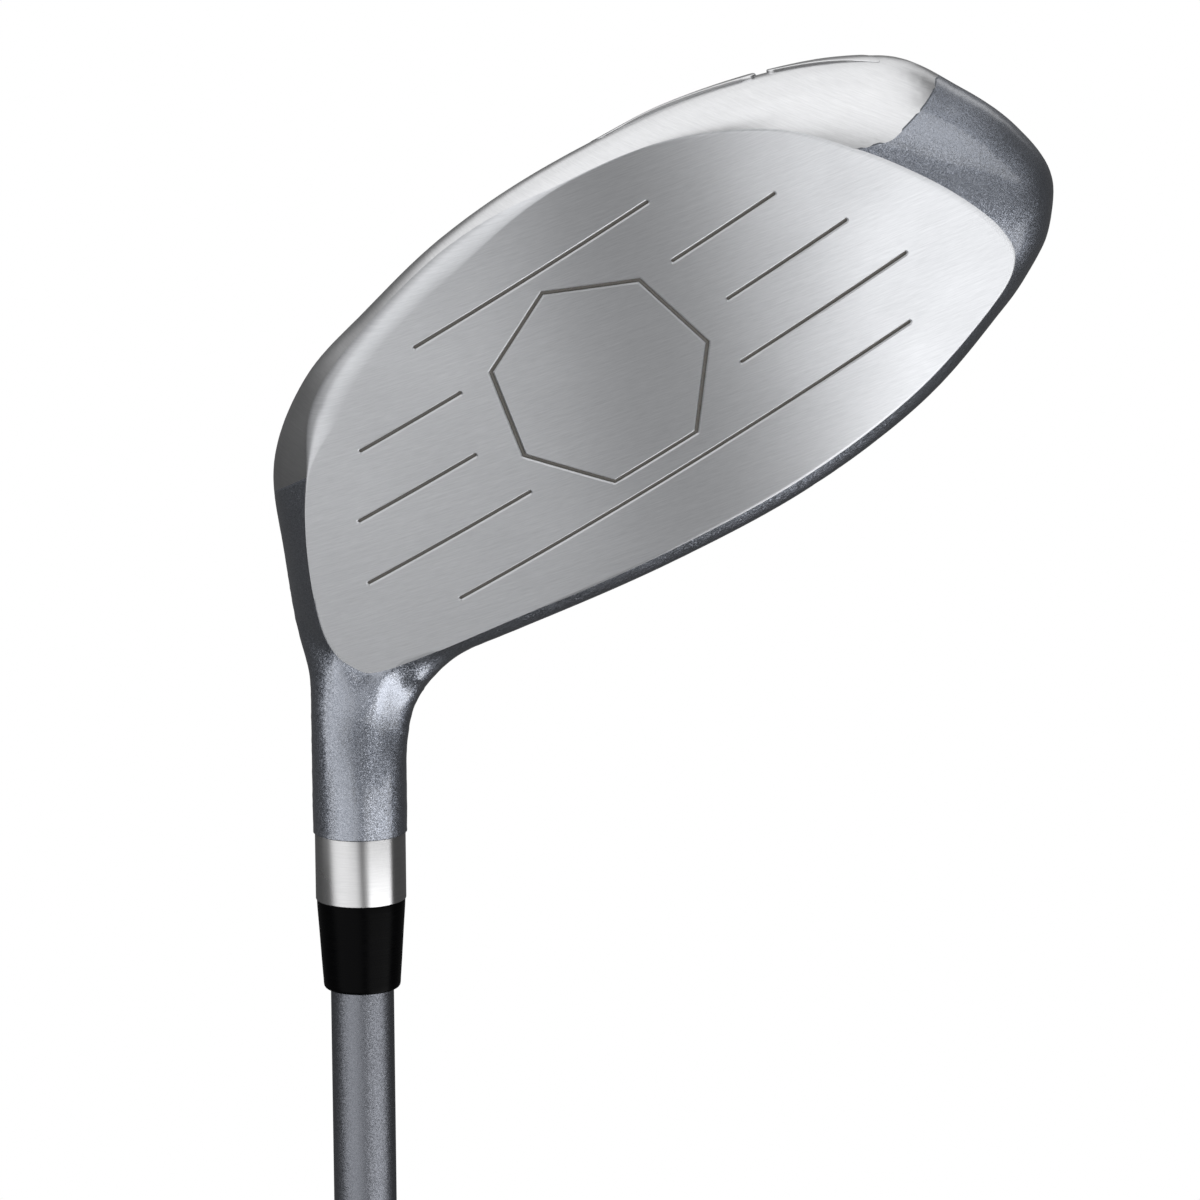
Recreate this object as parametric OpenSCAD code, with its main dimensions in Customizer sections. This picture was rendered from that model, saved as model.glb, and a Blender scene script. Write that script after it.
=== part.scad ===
// Hybrid golf club: hollow steel head, hosel band, ferrule, graphite shaft and rubber grip.
// The frame: the origin is at the centre of the grip's butt end, +Z runs along the shaft
// towards the head, +X points towards the toe and the face looks along -Y.

/* [Club] */
// Length from the butt end to the ground, measured along the shaft
club_length = 1016; // [960:1:1080]
// Angle between the shaft and the ground at address
lie = 58; // [56:0.5:62]
// Angle between the face and the vertical at address
loft = 18.5; // [14:0.5:24]

/* [Head] */
// Face centre from where the shaft line meets the ground, towards the toe
face_toeward = 23.3; // [22:0.1:26]
// Face centre forward of the shaft line
face_forward = 15.5; // [14:0.1:18]
// Face centre above the ground
face_height = 27.5; // [27:0.1:30]
// Head depth behind the face centre
head_depth = 64; // [56:1:80]
// Wall of the cast body and of the crown
wall = 1.2; // [1.1:0.1:2]
// Height of the raised plate on the sole
pad_height = 0.6; // [0.4:0.1:1]

/* [Face] */
// Radius of the face's curve, heel to toe and crown to sole
bulge_radius = 305; // [250:5:400]
// Thickness of the face plate
face_thickness = 2.8; // [2.6:0.1:3.4]
// Width of a score line
score_width = 0.75; // [0.5:0.05:0.9]
// Depth of a score line
score_depth = 0.45; // [0.3:0.05:0.5]
// Distance between two score rows
score_pitch = 8.25; // [8:0.05:8.5]
// Corner radius of the seven-sided line round the face centre
heptagon_radius = 14.2; // [13:0.1:15]

/* [Hosel] */
// Diameter of the painted hosel
hosel_d = 12.6; // [12:0.1:13.5]
// Diameter of the bare steel band
band_d = 12.15; // [11.8:0.05:12.5]
// Length of the band
band_length = 9.2; // [6:0.1:12]
// Distance from the ground to the painted hosel's end, along the shaft
hosel_reach = 73.5; // [70:0.5:80]
// Diameter of the ferrule where it meets the band
ferrule_d = 11.9; // [11.5:0.05:12]
// Diameter of the ferrule's small end
ferrule_tip_d = 10.3; // [9.6:0.05:11]
// Length of the ferrule
ferrule_length = 12.3; // [10:0.1:25]
// How far the shaft goes into the hosel
insertion = 36; // [30:1:38]

/* [Shaft] */
// Diameter of the parallel tip
tip_d = 8.5; // [8.5:0.05:8.6]
// Length of the parallel tip that shows below the ferrule
tip_bare = 75; // [40:1:120]
// Diameter of the tip's end, rubbed down for the ferrule and the glue
bonded_d = 8.4; // [8.3:0.05:8.45]
// Diameter at the butt
butt_d = 15.2; // [14.5:0.1:15.6]
// Wall at the tip
tip_wall = 1.9; // [1.5:0.1:2]
// Wall at the butt
butt_wall = 1; // [0.8:0.1:1.5]

/* [Grip] */
// Length of the grip
grip_length = 267; // [250:1:275]
// Diameter of the grip at the butt
grip_butt_d = 26.4; // [25:0.1:28]
// Diameter of the grip at its mouth
grip_mouth_d = 17.4; // [17:0.1:19]
// Diameter of the vent hole in the cap
vent_d = 4; // [3:0.1:5]

/* [Hidden] */
$fn = 64;

// Face outline, from the heel corner along the crown to the toe and back along the sole. Each
// row is the place towards the toe and towards the crown, how far the body swells out past the
// face edge there, and how far behind the edge it is widest.
outline_rows = [
    [-45.5, 20.4, 1.8, 5],
    [-27, 22.7, 1.9, 4],
    [-6, 25.2, 2, 4],
    [14, 26.4, 2, 4],
    [32, 25, 1.9, 5],
    [46.5, 20.8, 1.7, 6],
    [51.6, 17.5, 2.6, 8],
    [52, 13, 7.6, 11],
    [50.3, 7, 11.2, 13],
    [47, 0, 12.3, 14],
    [42, -7.7, 11.6, 14],
    [34.5, -16, 7.8, 12],
    [22, -22.4, 3.6, 9],
    [6, -25, 2.8, 8],
    [-8, -24.5, 2.6, 8],
    [-21, -21.5, 2.9, 8],
    [-31, -16.8, 4.4, 9],
    [-39, -9, 5.9, 10],
    [-45.3, 0.4, 5.2, 10],
    [-50.2, 11.5, 5, 9],
    [-49.7, 17.6, 3.5, 7]
];
per_row = 3;
ring_count = len(outline_rows) * per_row;
side_steps = 4;
back_steps = 9;
face_steps = 6;

// Rearmost point of the head, from the face centre
tail = [4, -head_depth, -10];

// Score lines: row number counted from the sole side, then the line's two ends towards the toe
first_row = -0.35 - 2 * score_pitch;
score_lines = [
    [0, -17.3, 17.3],
    [1, -31, -16], [1, 16, 31],
    [2, -36.7, -19.1], [2, 19.1, 36.7],
    [3, -40.7, -16.1], [3, 16.1, 40.7],
    [4, -31.9, 36.4]
];

// Stations along the shaft, from the origin
hosel_end = club_length - hosel_reach;
band_end = hosel_end - band_length;
ferrule_end = band_end - ferrule_length;
shaft_top = band_end + insertion;
bore_r = tip_d / 2 + 0.2;
bond_r = tip_d / 2 + 0.15;
neck_r = band_d / 2 - 0.8;
plug_length = 5;
shaft_butt = 4;
cap_length = 9;
tape_t = 0.3;
step_length = 1.2;

// Point on a closed smooth curve through the rows, at row number s
function on_rows(rows, s) =
    let (n = len(rows), i = floor(s), t = s - i,
         a = rows[(i + n - 1) % n], b = rows[i % n], c = rows[(i + 1) % n], d = rows[(i + 2) % n])
    0.5 * (2 * b + (c - a) * t + (2 * a - 5 * b + 4 * c - d) * t * t
           + (3 * b - a - 3 * c + d) * t * t * t);

// Point of the face surface, from the face centre: towards the toe, forward, up
function face_point(u, v, sink) =
    let (n = -(u * u + v * v) / (2 * bulge_radius))
    [u, n * cos(loft) - v * sin(loft) - sink, v * cos(loft) + n * sin(loft)];

rows_here = [for (k = [0 : ring_count - 1]) on_rows(outline_rows, k / per_row)];
edge_here = [for (r = rows_here) face_point(r[0], r[1], 0)];

// Outward direction across the outline at place k, seen from the front
function outward(k) =
    let (a = edge_here[(k + ring_count - 1) % ring_count], b = edge_here[(k + 1) % ring_count],
         d = [a[2] - b[2], b[0] - a[0]])
    d / norm(d);

// Ring of the body's outside: side 0 at the face edge to 1 at the widest place. A positive
// inset moves the ring inwards and the front of the side back by sink.
function side_ring(side, inset, sink) =
    [for (k = [0 : ring_count - 1])
        let (e = edge_here[k], r = rows_here[k], o = outward(k),
             g = r[2] * sin(90 * side) - inset)
        [e[0] + g * o[0], e[1] - sink - (r[3] - sink) * side, e[2] + g * o[1]]];

// Ring behind the widest place: back 0 there to 1 at the tail
function back_ring(back, inset) =
    let (w = side_ring(1, inset, 0), cx = pow(1 - pow(back, 2.4), 0.5),
         cz = pow(1 - pow(back, 2), 0.5))
    [for (p = w)
        [tail[0] + (p[0] - tail[0]) * cx,
         p[1] + (tail[1] + inset - p[1]) * back,
         tail[2] + (p[2] - tail[2]) * cz]];

// Ring on the face surface, at a fraction of the way from its centre to its edge
function face_ring(part, inset, sink) =
    let (edge = side_ring(0, inset, 0))
    [for (k = [0 : ring_count - 1])
        let (r = rows_here[k], o = outward(k))
        face_point(part * (r[0] - inset * o[0]), part * (r[1] - inset * o[1]), sink)];

// Closed skin over a list of rings, with a point in front of the first and behind the last
module skin(rings, front, rear) {
    n = len(rings[0]);
    m = len(rings);
    points = concat([for (ring = rings) each ring], [front, rear]);
    bands = [for (j = [0 : m - 2], k = [0 : n - 1], half = [0, 1])
        let (a = j * n + k, b = j * n + (k + 1) % n, c = a + n, d = b + n)
        half == 0 ? [a, b, d] : [a, d, c]];
    caps = [for (k = [0 : n - 1], end = [0, 1])
        let (a = k, b = (k + 1) % n)
        end == 0 ? [m * n, b, a] : [(m - 1) * n + a, (m - 1) * n + b, m * n + 1]];
    polyhedron(points, concat(bands, caps));
}

// Solid with the head's outside shape behind the face, from sink behind the face surface
module head_solid(inset, sink) {
    front = [for (j = [1 : face_steps - 1]) face_ring(j / face_steps, inset, sink)];
    sides = [for (j = [0 : side_steps]) side_ring(j / side_steps, inset, sink)];
    backs = [for (j = [1 : back_steps - 1]) back_ring(sin(90 * j / back_steps), inset)];
    skin(concat(front, sides, backs), face_point(0, 0, sink), tail + [0, inset, 0]);
}

// Places its children in the head frame, which has its origin at the face centre,
// X to the toe, Y forward and Z up at address
module at_face() {
    translate([0, 0, club_length])
        rotate([0, lie - 90, 0])
            rotate([180, 0, 0])
                translate([face_toeward, face_forward, face_height])
                    children();
}

// Keeps a group of smooth faceted shapes as one mesh
module one_mesh() {
    resize([0, 0, 0]) children();
}

// Everything in front of a surface that lies sink behind the face, out to span times the
// face's outline
module front_space(sink, span) {
    rings = [for (j = [face_steps : -1 : 1]) face_ring(span * j / face_steps, 0, sink)];
    forward = [0, 30, 0];
    skin(concat([[for (p = rings[0]) p + forward]], rings), 1.5 * forward,
         face_point(0, 0, sink));
}

// Hollow inside of the head, open at the front inside the ledge that carries the face plate
module head_hollow() {
    head_solid(wall, face_thickness + wall);
    front_space(face_thickness + 2 * wall, 0.93);
}

// Space above the line where the crown plate is welded in, clear of the hosel
module crown_space() {
    weld_front = [-13, 22.4];
    weld_rear = [tail[1], -6];
    difference() {
        at_face()
            rotate([90, 0, 90])
                linear_extrude(height = 160, center = true)
                    polygon([weld_front, weld_rear, [weld_rear[0] - 20, 10],
                             [weld_rear[0] - 20, 60], [weld_front[0], 60]]);
        translate([0, 0, club_length - 120])
            cylinder(h = 140, r = 15);
    }
}

// Outside of the hosel with the flare that runs into the crown
module hosel_solid() {
    flare_top = 61;
    flare_root = 54;
    translate([0, 0, hosel_end])
        cylinder(h = 30, d = hosel_d);
    hull() {
        translate([0, 0, club_length - flare_top])
            cylinder(h = 1, d = hosel_d, $fn = 32);
        translate([3, 0, club_length - flare_root])
            sphere(d = hosel_d, $fn = 32);
    }
}

module head_body() {
    color([0.33, 0.36, 0.41])
        one_mesh()
            difference() {
                union() {
                    at_face() head_solid(0, face_thickness);
                    difference() {
                        hosel_solid();
                        at_face() front_space(face_thickness, 1);
                    }
                    translate([0, 0, band_end])
                        cylinder(h = band_length + 1, r = neck_r);
                }
                difference() {
                    at_face() head_hollow();
                    translate([0, 0, band_end])
                        cylinder(h = insertion + plug_length + 2, r = hosel_d / 2 - 0.3);
                }
                crown_space();
                translate([0, 0, band_end - 1])
                    cylinder(h = insertion + plug_length + 1, r = bore_r);
            }
}

// Outline of a score line with round ends, on the face's flat layout
module score_outline(row, from, to) {
    v = first_row + row * score_pitch;
    for (u = [from, to])
        translate([u, v]) circle(d = score_width, $fn = 16);
    translate([from, v - score_width / 2])
        square([to - from, score_width]);
}

// Outline of the seven-sided line, with one corner towards the sole
module heptagon_outline() {
    rotate(-90)
        difference() {
            circle(r = heptagon_radius + score_width / 2, $fn = 7);
            circle(r = heptagon_radius - score_width / 2, $fn = 7);
        }
}

// Straight cutters for every line on the face, square to the face's middle
module score_cutters() {
    rotate([90 + loft, 0, 0])
        linear_extrude(height = 24, center = true) {
            for (line = score_lines)
                score_outline(line[0], line[1], line[2]);
            heptagon_outline();
        }
}

module face_plate() {
    front = [for (j = [1 : face_steps - 1]) face_ring(j / face_steps, 0, 0)];
    edge = side_ring(0, 0, 0);
    back_edge = side_ring(0, 0, face_thickness);
    back = [for (j = [face_steps - 1 : -1 : 1]) face_ring(j / face_steps, 0, face_thickness)];
    color([0.72, 0.72, 0.73])
        at_face()
            one_mesh()
                difference() {
                    skin(concat(front, [edge, back_edge], back), face_point(0, 0, 0),
                         face_point(0, 0, face_thickness));
                    intersection() {
                        score_cutters();
                        front_space(score_depth, 1.2);
                    }
                }
}

module crown_plate() {
    color([0.33, 0.36, 0.41])
        one_mesh()
            intersection() {
                difference() {
                    at_face() head_solid(0, face_thickness);
                    at_face() head_hollow();
                }
                crown_space();
            }
}

// Plain raised plate on the sole, with rounded corners
module sole_plate() {
    near = [11, 37];
    far = [4, 30];
    rear = -52;
    front = -12;
    color([0.8, 0.8, 0.82])
        at_face()
            one_mesh()
                difference() {
                    intersection() {
                        head_solid(-pad_height, 0);
                        translate([0, 0, -40])
                            linear_extrude(height = 25)
                                offset(r = 3, $fn = 24)
                                    offset(delta = -3)
                                        polygon([[near[0], front], [near[1], front],
                                                 [far[1], rear], [far[0], rear]]);
                    }
                    head_solid(0, 0);
                }
}

module hosel_plug() {
    color([0.85, 0.82, 0.7])
        translate([0, 0, shaft_top])
            cylinder(h = plug_length - 0.5, d = bonded_d);
}

// Blob of sticky glue that catches loose grit inside the head
module rattle_glue() {
    color([0.9, 0.85, 0.6])
        at_face()
            one_mesh()
                intersection() {
                    head_hollow();
                    translate([6, -30, -38]) sphere(r = 17, $fn = 32);
                }
}

module hosel_band() {
    color([0.78, 0.78, 0.79])
        translate([0, 0, band_end])
            difference() {
                cylinder(h = band_length, d = band_d);
                translate([0, 0, -1]) cylinder(h = band_length + 2, r = neck_r);
            }
}

module ferrule() {
    lip = 0.6;
    color([0.04, 0.04, 0.045])
        translate([0, 0, ferrule_end])
            rotate_extrude()
                polygon([[tip_d / 2, 0], [ferrule_tip_d / 2 - lip, 0], [ferrule_tip_d / 2, lip],
                         [ferrule_d / 2, ferrule_length], [bonded_d / 2, ferrule_length],
                         [bonded_d / 2, step_length]]);
}

module shaft_epoxy() {
    color([0.6, 0.6, 0.4])
        translate([0, 0, band_end])
            difference() {
                cylinder(h = insertion, r = bond_r);
                translate([0, 0, -1]) cylinder(h = insertion + 2, d = bonded_d);
            }
}

module tip_weight() {
    color([0.75, 0.6, 0.3])
        translate([0, 0, shaft_top - 16])
            cylinder(h = 15, r = tip_d / 2 - tip_wall - 0.05);
}

module shaft() {
    tip_start = ferrule_end - tip_bare;
    butt_run = grip_length + 20;
    color([0.42, 0.43, 0.46])
        rotate_extrude()
            polygon([[butt_d / 2 - butt_wall, shaft_butt], [butt_d / 2, shaft_butt],
                     [butt_d / 2, butt_run], [tip_d / 2, tip_start], [tip_d / 2, ferrule_end],
                     [bonded_d / 2, ferrule_end + step_length], [bonded_d / 2, shaft_top],
                     [tip_d / 2 - tip_wall, shaft_top], [tip_d / 2 - tip_wall, tip_start],
                     [butt_d / 2 - butt_wall, butt_run]]);
}

module grip_tape() {
    color([0.9, 0.9, 0.85])
        translate([0, 0, cap_length])
            difference() {
                cylinder(h = grip_length - cap_length - 4, r = butt_d / 2 + tape_t);
                translate([0, 0, -1]) cylinder(h = grip_length, d = butt_d);
            }
}

module grip() {
    color([0.06, 0.06, 0.065])
        difference() {
            rotate_extrude()
                polygon([[0, cap_length], [grip_butt_d / 2 - 0.6, cap_length],
                         [grip_butt_d / 2 - 2.2, cap_length + 45],
                         [grip_mouth_d / 2, grip_length], [0, grip_length]]);
            translate([0, 0, cap_length - 1])
                cylinder(h = grip_length, r = butt_d / 2 + tape_t);
        }
}

module grip_cap() {
    edge = 2.5;
    color([0.07, 0.07, 0.075])
        difference() {
            rotate_extrude()
                polygon([[0, 0], [grip_butt_d / 2 - edge, 0], [grip_butt_d / 2, edge],
                         [grip_butt_d / 2 - 0.6, cap_length], [0, cap_length]]);
            translate([0, 0, shaft_butt]) cylinder(h = cap_length, d = butt_d);
            translate([0, 0, -1]) cylinder(h = shaft_butt + 2, d = vent_d);
        }
}

head_body();
face_plate();
crown_plate();
sole_plate();
hosel_plug();
rattle_glue();
hosel_band();
ferrule();
shaft_epoxy();
tip_weight();
shaft();
grip_tape();
grip();
grip_cap();
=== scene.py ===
"""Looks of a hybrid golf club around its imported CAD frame.

Everything is in metres in the club frame: the origin is at the butt end of the grip, +Z runs
along the shaft to the head, +X points to the toe side and the face looks along -Y. The head is
worked out in millimetres in its own frame, which has its origin at the face centre, X to the
toe, Y forward and Z up with the club at address, and is then turned into the club frame.
"""

import math

import bpy
import numpy as np
from mathutils import Matrix, Vector
from mathutils.bvhtree import BVHTree
from mathutils.geometry import delaunay_2d_cdt


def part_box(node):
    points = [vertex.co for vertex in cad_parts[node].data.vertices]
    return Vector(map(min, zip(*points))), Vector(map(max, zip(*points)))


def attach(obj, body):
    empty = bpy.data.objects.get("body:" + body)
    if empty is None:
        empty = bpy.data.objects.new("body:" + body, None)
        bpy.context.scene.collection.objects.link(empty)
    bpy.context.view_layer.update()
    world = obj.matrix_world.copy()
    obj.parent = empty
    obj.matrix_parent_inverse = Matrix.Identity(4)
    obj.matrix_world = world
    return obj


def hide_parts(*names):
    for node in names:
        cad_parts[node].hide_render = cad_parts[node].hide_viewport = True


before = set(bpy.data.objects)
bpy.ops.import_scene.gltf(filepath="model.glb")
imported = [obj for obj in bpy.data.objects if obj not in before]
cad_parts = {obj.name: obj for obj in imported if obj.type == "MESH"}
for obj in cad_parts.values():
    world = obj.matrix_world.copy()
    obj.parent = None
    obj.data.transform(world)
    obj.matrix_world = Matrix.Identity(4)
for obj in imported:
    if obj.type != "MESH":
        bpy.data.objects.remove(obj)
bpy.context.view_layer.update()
MM = 0.001

# ---------------- sizes, as in the CAD

LIE = math.radians(58)
LOFT = math.radians(18.5)
FACE_CENTRE = (34.33, -15.5, 1005.03)
HEAD_DEPTH = 64.0
BULGE_RADIUS = 305.0
FACE_THICKNESS = 2.8
HOSEL_RADIUS = 6.3
SHELL = 1.0

# Face outline from the heel corner along the crown to the toe and back along the sole: place
# towards the toe and the crown, how far the body swells out past the face edge, how far behind
# the edge it is widest, and how steeply it leaves the edge (1 even, less for a rounder roll).
OUTLINE_ROWS = np.array([
    [-45.5, 20.4, 1.8, 5, 1],
    [-27, 22.7, 1.9, 4, 1],
    [-6, 25.2, 2, 4, 1],
    [14, 26.4, 2, 4, 1],
    [32, 25, 1.9, 5, 1],
    [46.5, 20.8, 1.7, 6, 0.9],
    [51.6, 17.5, 3, 8, 0.7],
    [52, 13, 9, 11, 0.5],
    [50.3, 7, 11, 13, 0.42],
    [47, 0, 11.6, 14, 0.42],
    [42, -7.7, 11.7, 14, 0.4],
    [34.5, -16, 6.9, 12, 0.3],
    [22, -22.4, 3.8, 9, 0.3],
    [6, -25, 2.8, 8, 0.5],
    [-8, -24.5, 2.6, 8, 0.8],
    [-21, -21.5, 2.7, 8, 1],
    [-31, -16.8, 4.4, 9, 1],
    [-39, -9, 6, 10, 1],
    [-45.3, 0.4, 4.8, 10, 1],
    [-50.2, 11.5, 4.5, 9, 1],
    [-49.7, 17.6, 3.6, 7, 1],
])
ROWS = len(OUTLINE_ROWS)
TAIL = np.array([4.0, -HEAD_DEPTH, -10.0])

# ---------------- small maths


def unit(vectors):
    """Vectors scaled to length one."""
    vectors = np.asarray(vectors, dtype=float)
    length = np.linalg.norm(vectors, axis=-1, keepdims=True)
    return vectors / np.maximum(length, 1e-12)


def dot(a, b):
    """Dot product along the last axis."""
    return np.sum(a * b, axis=-1)


def columns(*values):
    """Values side by side, as the columns of rows."""
    return np.stack(values, axis=-1)


def circle(radius, height, around):
    """Points of a level ring round the upright axis."""
    turn = 2 * math.pi * np.arange(around) / around
    return columns(radius * np.cos(turn), radius * np.sin(turn), np.full(around, height))


def along_guide(vectors, guide):
    """Vectors, turned round where they point against the guide."""
    return vectors * np.sign(dot(vectors, guide))[:, None]


def curve(a, b, c, t):
    """Place at t from 0 to 1 on the curve from a to c that is pulled towards b."""
    return (1 - t) ** 2 * a + 2 * t * (1 - t) * b + t * t * c


def ease(value, start, end):
    """Smooth step from 0 at start to 1 at end."""
    t = np.clip((np.asarray(value, dtype=float) - start) / (end - start), 0, 1)
    return t * t * (3 - 2 * t)


TURN = np.array([
    [math.sin(LIE), 0, math.cos(LIE)],
    [0, -1, 0],
    [math.cos(LIE), 0, -math.sin(LIE)],
])


def to_club(points):
    """Head frame in millimetres to club frame in millimetres."""
    return np.asarray(points) @ TURN.T + FACE_CENTRE


def to_head(points):
    """Club frame in millimetres to head frame in millimetres."""
    return (np.asarray(points) - FACE_CENTRE) @ TURN


# ---------------- shape of the head


def on_rows(s):
    """Values on the closed smooth curve through the outline rows, at row numbers s."""
    s = np.asarray(s, dtype=float)
    i = np.floor(s).astype(int)
    t = (s - i)[..., None]
    a, b, c, d = (OUTLINE_ROWS[(i + k) % ROWS] for k in (-1, 0, 1, 2))
    return 0.5 * (2 * b + (c - a) * t + (2 * a - 5 * b + 4 * c - d) * t ** 2
                  + (3 * b - a - 3 * c + d) * t ** 3)


def face_point(u, v, height=0.0):
    """Point at height above the face surface, u towards the toe and v towards the crown."""
    n = -(u * u + v * v) / (2 * BULGE_RADIUS)
    c, s = math.cos(LOFT), math.sin(LOFT)
    point = columns(u, n * c - v * s, v * c + n * s)
    return point + np.asarray(height)[..., None] * face_normal(u, v)


def face_normal(u, v):
    """Direction square to the face surface."""
    u, v = np.asarray(u, dtype=float), np.asarray(v, dtype=float)
    a, b = u / BULGE_RADIUS, v / BULGE_RADIUS
    c, s = math.cos(LOFT), math.sin(LOFT)
    return unit(columns(a, c - b * s, s + b * c))


def face_place(points):
    """Place u, v of points near the face, and their height above it."""
    c, s = math.cos(LOFT), math.sin(LOFT)
    u = points[..., 0]
    v = points[..., 2] * c - points[..., 1] * s
    n = points[..., 1] * c + points[..., 2] * s
    return u, v, n + (u * u + v * v) / (2 * BULGE_RADIUS)


def outward(s):
    """Direction out across the face outline, seen from the front."""
    a, b = (face_point(*on_rows(s + way)[:, :2].T) for way in (-1 / 3, 1 / 3))
    return unit(columns(a[:, 2] - b[:, 2], b[:, 0] - a[:, 0]))


def side_points(s, side):
    """Body's outside at row numbers s, from side 0 at the face edge to 1 at the widest place."""
    u, v, swell, depth, start = on_rows(s).T
    swell = (swell * np.sin(0.5 * math.pi * side))[:, None] * outward(s)
    back = side * (start + (1 - start) * max(side, 0))
    return face_point(u, v) + columns(swell[:, 0], -depth * back, swell[:, 1])


def back_points(s, back):
    """Body's outside behind its widest place, from back 0 there to 1 at the tail."""
    points = side_points(s, 1.0)
    across = (1 - back ** 2.4) ** 0.5
    upright = (1 - back ** 2) ** 0.5
    points[..., 0] = TAIL[0] + (points[..., 0] - TAIL[0]) * across
    points[..., 1] += (TAIL[1] - points[..., 1]) * back
    points[..., 2] = TAIL[2] + (points[..., 2] - TAIL[2]) * upright
    return points


def closed_rings(rings, first, last):
    """Points and triangles of a closed skin over rings, with a point at either end.

    The rings turn the way a screw does on its way from the first ring to the last.
    """
    n, m = len(rings[0]), len(rings)
    points = np.vstack(rings + [first, last])
    k = np.arange(n)
    j = (k + 1) % n
    triangles = [columns(j, k, np.full(n, m * n))]
    for i in range(m - 1):
        a, b, c, d = i * n + k, i * n + j, (i + 1) * n + k, (i + 1) * n + j
        triangles.append(patches(a, b, c, d))
    end = (m - 1) * n
    triangles.append(columns(end + k, end + j, np.full(n, m * n + 1)))
    return points, np.vstack(triangles)


def patches(a, b, c, d):
    """Triangles of the four-sided patches from the points a and b to c and d beyond them."""
    return np.vstack([columns(a, b, d), columns(a, d, c)])


def crossed(edges, value):
    """Edges along which the value changes its sign, and how far along them it is zero."""
    a, b = value[edges[:, 0]], value[edges[:, 1]]
    over = a * b < 0
    return edges[over], a[over] / (a[over] - b[over])


def edges_of(triangles):
    """All edges of the triangles, in their own turn."""
    return np.vstack([triangles[:, [0, 1]], triangles[:, [1, 2]], triangles[:, [2, 0]]])


def facing(points, triangles):
    """Vectors square to the triangles, twice as long as their area."""
    a, b, c = (points[triangles[:, i]] for i in range(3))
    return np.cross(b - a, c - a)


def vertex_normals(points, triangles):
    """Area-weighted normals at the points of a triangle mesh."""
    across = facing(points, triangles)
    total = np.zeros_like(points)
    for i in range(3):
        np.add.at(total, triangles[:, i], across)
    return unit(total)


def link(name, data):
    """Object in the scene that shows the data."""
    piece = bpy.data.objects.new(name, data)
    bpy.context.scene.collection.objects.link(piece)
    return piece


def link_mesh(name, points, faces):
    """Object in the scene with a mesh of points and faces."""
    mesh = bpy.data.meshes.new(name)
    mesh.from_pydata(points.tolist(), [], [list(map(int, face)) for face in faces])
    return link(name, mesh)


class Surface:
    """Triangle mesh that gives the signed distance to itself and the direction outwards."""

    def __init__(self, points, triangles):
        self.points = points
        self.triangles = triangles
        self.normals = vertex_normals(points, triangles)
        self.tree = BVHTree.FromPolygons(points.tolist(), triangles.tolist())

    def field(self, places):
        """Signed distance and smooth outward direction at places."""
        hits = [self.tree.find_nearest(Vector(p)) for p in places]
        near = np.array([h[0] for h in hits])
        corners = self.triangles[[h[2] for h in hits]]
        a, b, c = (self.points[corners[:, i]] for i in range(3))
        ab, ac, ap = b - a, c - a, near - a
        d00, d01, d11 = dot(ab, ab), dot(ab, ac), dot(ac, ac)
        d20, d21 = dot(ap, ab), dot(ap, ac)
        whole = d00 * d11 - d01 * d01
        wb = (d11 * d20 - d01 * d21) / whole
        wc = (d00 * d21 - d01 * d20) / whole
        weights = np.clip(columns(1 - wb - wc, wb, wc), 0, 1)
        normal = unit(np.einsum("ij,ijk->ik", weights, self.normals[corners]))
        return dot(places - near, normal), normal


def make_body():
    """Body behind the face without its hosel, carried on a little in front of the face."""
    s = np.arange(ROWS * 12) / 12
    rings = [side_points(s, side) for side in np.linspace(-0.22, 1, 30)]
    rings += [back_points(s, math.sin(0.5 * math.pi * i / 44)) for i in range(1, 44)]
    return Surface(*closed_rings(rings[::-1], TAIL, rings[0].mean(axis=0) + (0, 25, 0)))


HOSEL_ROOT = 984.0
HOSEL_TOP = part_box("hosel_band")[1][2] / MM
FILLET = 11.0


def hosel_field(places):
    """Signed distance to the hosel's outside, a long round bar, and its direction."""
    club = to_club(places)
    radius = np.hypot(club[:, 0], club[:, 1])
    side = radius - HOSEL_RADIUS
    root = club[:, 2] - HOSEL_ROOT
    out = np.zeros_like(club)
    out[:, :2] = club[:, :2] / np.maximum(radius, 1e-9)[:, None]
    return np.maximum(side, root), out @ TURN


def joined(a, b, fillet):
    """Two fields as one solid with a fillet between them. Each is a distance and a direction."""
    share = np.clip(0.5 + 0.5 * (b[0] - a[0]) / fillet, 0, 1)
    far = b[0] * (1 - share) + a[0] * share - fillet * share * (1 - share)
    return far, unit(b[1] * (1 - share)[:, None] + a[1] * share[:, None])


HEEL_EDGE = on_rows(np.linspace(15.5, 23.5, 400))[:, :2]
HEEL_OUT = unit(columns(-np.gradient(HEEL_EDGE[:, 1]), np.gradient(HEEL_EDGE[:, 0])))


def heel_corner(places):
    """Weight of the face's heel corner, distance out past its outline, and that direction."""
    u, v, height = face_place(places)
    weight = ease(-u, 20, 27) * ease(v, -9, -3)
    near = np.nonzero((weight > 0) & (height > -25))[0]
    far = np.full(len(u), 50.0)
    out = np.zeros((len(u), 2))
    if len(near):
        gap = columns(u[near], v[near])[:, None] - HEEL_EDGE
        best = dot(gap, gap).argmin(axis=1)
        out[near] = HEEL_OUT[best]
        far[near] = dot(gap[np.arange(len(near)), best], out[near])
    return weight, far, out


# The hollow between the face's heel corner and the hosel: how steeply it leaves the face and
# how it curls up, and how far it is lifted off at its ends, then the place on the face from
# which it falls away beside the neck, the direction of that fall, its start, width and depth.
HOLLOW_RISE = 0.48
HOLLOW_CURL = 0.02
HOLLOW_LIMIT = 8.0
FALL_FROM = np.array([-52.0, 24.0])
FALL_WAY = np.array([0.74, 0.67])
FALL_START = 1.0
FALL_WIDTH = 5.0
FALL_DEPTH = 4.4


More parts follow.
